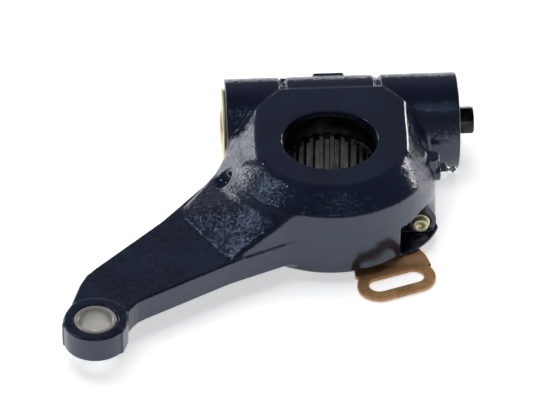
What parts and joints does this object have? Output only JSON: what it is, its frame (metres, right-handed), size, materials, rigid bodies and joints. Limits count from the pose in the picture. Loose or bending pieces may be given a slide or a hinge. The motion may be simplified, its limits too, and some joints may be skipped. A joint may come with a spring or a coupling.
{
  "type": "automatic brake slack adjuster",
  "caption": "Cast brake lever with a splined worm wheel turned by a hex-ended worm, an end cap with power spring, a rack-driven clutch and a slotted control arm.",
  "frame": {"origin": "where the camshaft axis meets the plane of the worm shaft's axis", "axes": "+Z along the camshaft bore towards the ring face; +X along the worm shaft towards its hex end; +Y from the camshaft bore towards the worm tube; the lever points to -X and -Y and the control arm to +X and -Y under the hub"},
  "size_m": [0.1936, 0.1751, 0.0456],
  "materials": {
    "navy_paint": "glossy navy-black paint over cast iron",
    "oiled_steel": "machined steel with a film of oil",
    "ground_steel": "satin ground steel",
    "black_steel": "blackened steel",
    "yellow_zinc": "yellow zinc plating",
    "bronze_zinc": "tan and gold zinc plating",
    "bright_zinc": "bright zinc plating",
    "spring_steel": "oiled spring wire",
    "bronze": "turned bronze",
    "seal_rubber": "black seal rubber"
  },
  "bodies": {
    "housing": {"adjuster_body": "navy_paint", "clevis_bush": "ground_steel", "end_cap": "yellow_zinc", "end_cap_seal": "seal_rubber", "hex_bearing": "black_steel", "hex_seal": "seal_rubber", "rack_plug": "yellow_zinc", "cover_plate": "navy_paint", "cover_screw_1": "yellow_zinc", "cover_screw_2": "yellow_zinc", "cover_screw_3": "yellow_zinc", "cover_screw_4": "yellow_zinc", "grease_nipple": "bright_zinc", "friction_spring": "spring_steel", "power_spring": "spring_steel", "rack_spring": "spring_steel"},
    "wheel": {"worm_wheel": "oiled_steel", "wheel_seal": "seal_rubber", "thrust_washer": "bronze"},
    "thrust_set": {"thrust_bearing": "ground_steel", "spring_seat": "oiled_steel"},
    "worm": {"worm_shaft": "black_steel", "clutch_ring": "oiled_steel", "one_way_spring": "spring_steel"},
    "clutch_gear": {"rack_gear": "oiled_steel"},
    "control_unit": {"control_disc": "oiled_steel", "control_arm": "bronze_zinc", "arm_rivet_1": "yellow_zinc", "arm_rivet_2": "yellow_zinc", "arm_rivet_3": "yellow_zinc", "arm_rivet_4": "yellow_zinc"},
    "control_rack": {"rack": "oiled_steel"}
  },
  "joints": [
    {"name": "wheel_turn", "type": "hinge", "parent": "housing", "child": "wheel", "pos_m": [0, 0, 0], "axis": [0, 0, 1], "continuous": true},
    {"name": "worm_float", "type": "slide", "parent": "housing", "child": "thrust_set", "axis": [1, 0, 0], "range_m": [-0.0004, 0], "stiffness_N_per_m": 20000, "springref_m": 0.004, "deforming": ["power_spring"]},
    {"name": "worm_turn", "type": "hinge", "parent": "thrust_set", "child": "worm", "pos_m": [0, 0.042, 0], "axis": [1, 0, 0], "continuous": true},
    {"name": "arm_swing", "type": "hinge", "parent": "housing", "child": "control_unit", "pos_m": [0, 0, 0], "axis": [0, 0, 1], "range_deg": [-4, 18]},
    {"name": "rack_slide", "type": "slide", "parent": "housing", "child": "control_rack", "axis": [0, 1, 0], "range_m": [-0.0023, 0.01], "deforming": ["rack_spring"]},
    {"name": "gear_turn", "type": "hinge", "parent": "housing", "child": "clutch_gear", "pos_m": [0, 0.042, 0], "axis": [1, 0, 0], "range_deg": [-18, 78]}
  ],
  "couplings": [
    {"joint": "worm_turn", "follows": "wheel_turn", "ratio": 21},
    {"joint": "rack_slide", "follows": "arm_swing", "m_per_rad": 0.0312},
    {"joint": "gear_turn", "follows": "arm_swing", "ratio": 4.16}
  ]
}
